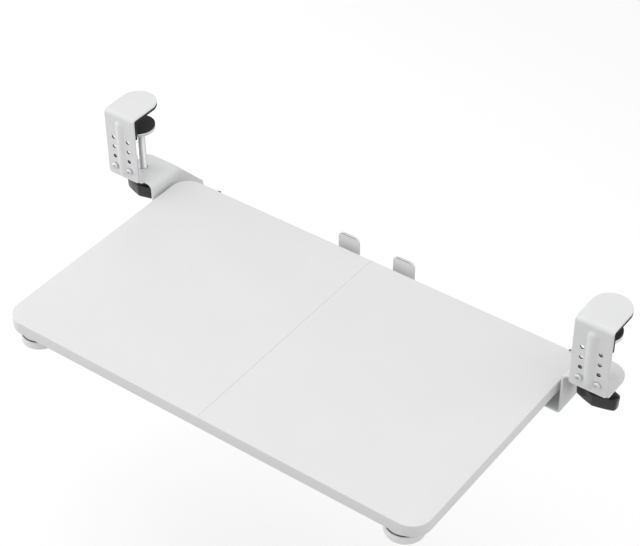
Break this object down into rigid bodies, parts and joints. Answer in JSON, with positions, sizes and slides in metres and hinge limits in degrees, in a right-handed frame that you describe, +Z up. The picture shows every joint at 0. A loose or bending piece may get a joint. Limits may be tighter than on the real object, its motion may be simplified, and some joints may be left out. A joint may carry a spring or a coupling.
{
  "type": "under desk drawer",
  "caption": "Pull-out under desk drawer tray: a white board in halves on roller runners, hung from screw clamps that hook over a table edge and grip it.",
  "frame": {"origin": "middle of the gripped table edge, on its upper front corner", "axes": "+X along the edge to the right, +Y in under the table top, +Z up"},
  "size_m": [0.5152, 0.2695, 0.1142],
  "materials": {
    "white_board": "white melamine-faced board, satin",
    "white_steel": "white powder coat on sheet steel",
    "black_foam": "black foam rubber",
    "black_plastic": "glossy black moulding",
    "bright_steel": "bright zinc-plated steel",
    "aluminium": "plain extruded aluminium",
    "white_nylon": "white nylon moulding",
    "beech": "plain beech"
  },
  "bodies": {
    "clamps": {"hook_plate_left": "white_steel", "hook_pad_left": "black_foam", "edge_pad_left": "black_foam", "jaw_bracket_left": "white_steel", "jaw_bolt_outer_left": "bright_steel", "jaw_bolt_inner_left": "bright_steel", "spindle_nut_left": "bright_steel", "roller_axle_front_left": "bright_steel", "roller_axle_rear_left": "bright_steel", "hook_plate_right": "white_steel", "hook_pad_right": "black_foam", "edge_pad_right": "black_foam", "jaw_bracket_right": "white_steel", "jaw_bolt_outer_right": "bright_steel", "jaw_bolt_inner_right": "bright_steel", "spindle_nut_right": "bright_steel", "roller_axle_front_right": "bright_steel", "roller_axle_rear_right": "bright_steel"},
    "tray": {"tray_board_left": "white_board", "tray_board_right": "white_board", "joining_plate": "white_steel", "joint_dowel_1": "beech", "joint_dowel_2": "beech", "joint_dowel_3": "beech", "joining_screw_1": "bright_steel", "joining_screw_2": "bright_steel", "joining_screw_3": "bright_steel", "joining_screw_4": "bright_steel", "joining_screw_5": "bright_steel", "joining_screw_6": "bright_steel", "runner_left": "aluminium", "runner_screw_left_1": "bright_steel", "runner_screw_left_2": "bright_steel", "runner_screw_left_3": "bright_steel", "runner_stop_left": "white_nylon", "stop_puck_left": "white_nylon", "puck_spacer_left": "white_nylon", "puck_screw_left": "bright_steel", "runner_right": "aluminium", "runner_screw_right_1": "bright_steel", "runner_screw_right_2": "bright_steel", "runner_screw_right_3": "bright_steel", "runner_stop_right": "white_nylon", "stop_puck_right": "white_nylon", "puck_spacer_right": "white_nylon", "puck_screw_right": "bright_steel"},
    "front_roller_left": {"roller_front_left": "white_nylon"},
    "rear_roller_left": {"roller_rear_left": "white_nylon"},
    "front_roller_right": {"roller_front_right": "white_nylon"},
    "rear_roller_right": {"roller_rear_right": "white_nylon"},
    "pressure_pad_left": {"pressure_disc_left": "bright_steel", "disc_pad_left": "black_foam"},
    "pressure_pad_right": {"pressure_disc_right": "bright_steel", "disc_pad_right": "black_foam"},
    "clamp_screw_left": {"clamp_spindle_left": "bright_steel", "clamp_knob_left": "black_plastic"},
    "clamp_screw_right": {"clamp_spindle_right": "bright_steel", "clamp_knob_right": "black_plastic"}
  },
  "joints": [
    {"name": "tray_slide", "type": "slide", "parent": "clamps", "child": "tray", "axis": [0, 1, 0], "range_m": [0, 0.163]},
    {"name": "front_roller_left_spin", "type": "hinge", "parent": "clamps", "child": "front_roller_left", "pos_m": [-0.1938, 0.01, -0.0993], "axis": [-1, 0, 0], "range_deg": [-5, 1490]},
    {"name": "rear_roller_left_spin", "type": "hinge", "parent": "clamps", "child": "rear_roller_left", "pos_m": [-0.1938, 0.0315, -0.0993], "axis": [-1, 0, 0], "range_deg": [-5, 1490]},
    {"name": "front_roller_right_spin", "type": "hinge", "parent": "clamps", "child": "front_roller_right", "pos_m": [0.1938, 0.01, -0.0993], "axis": [-1, 0, 0], "range_deg": [-5, 1490]},
    {"name": "rear_roller_right_spin", "type": "hinge", "parent": "clamps", "child": "rear_roller_right", "pos_m": [0.1938, 0.0315, -0.0993], "axis": [-1, 0, 0], "range_deg": [-5, 1490]},
    {"name": "pad_lift_left", "type": "slide", "parent": "clamps", "child": "pressure_pad_left", "axis": [0, 0, 1], "range_m": [-0.032, 0]},
    {"name": "pad_lift_right", "type": "slide", "parent": "clamps", "child": "pressure_pad_right", "axis": [0, 0, 1], "range_m": [-0.032, 0]},
    {"name": "clamp_screw_left_turn", "type": "hinge", "parent": "pressure_pad_left", "child": "clamp_screw_left", "pos_m": [-0.23865, 0.02045, -0.08], "axis": [0, 0, 1], "range_deg": [-9220, 4]},
    {"name": "clamp_screw_right_turn", "type": "hinge", "parent": "pressure_pad_right", "child": "clamp_screw_right", "pos_m": [0.23865, 0.02045, -0.08], "axis": [0, 0, 1], "range_deg": [-9220, 4]}
  ],
  "couplings": [
    {"joint": "front_roller_left_spin", "follows": "tray_slide", "rad_per_m": 158.73},
    {"joint": "rear_roller_left_spin", "follows": "tray_slide", "rad_per_m": 158.73},
    {"joint": "front_roller_right_spin", "follows": "tray_slide", "rad_per_m": 158.73},
    {"joint": "rear_roller_right_spin", "follows": "tray_slide", "rad_per_m": 158.73},
    {"joint": "clamp_screw_left_turn", "follows": "pad_lift_left", "rad_per_m": 5026.5},
    {"joint": "clamp_screw_right_turn", "follows": "pad_lift_right", "rad_per_m": 5026.5}
  ]
}
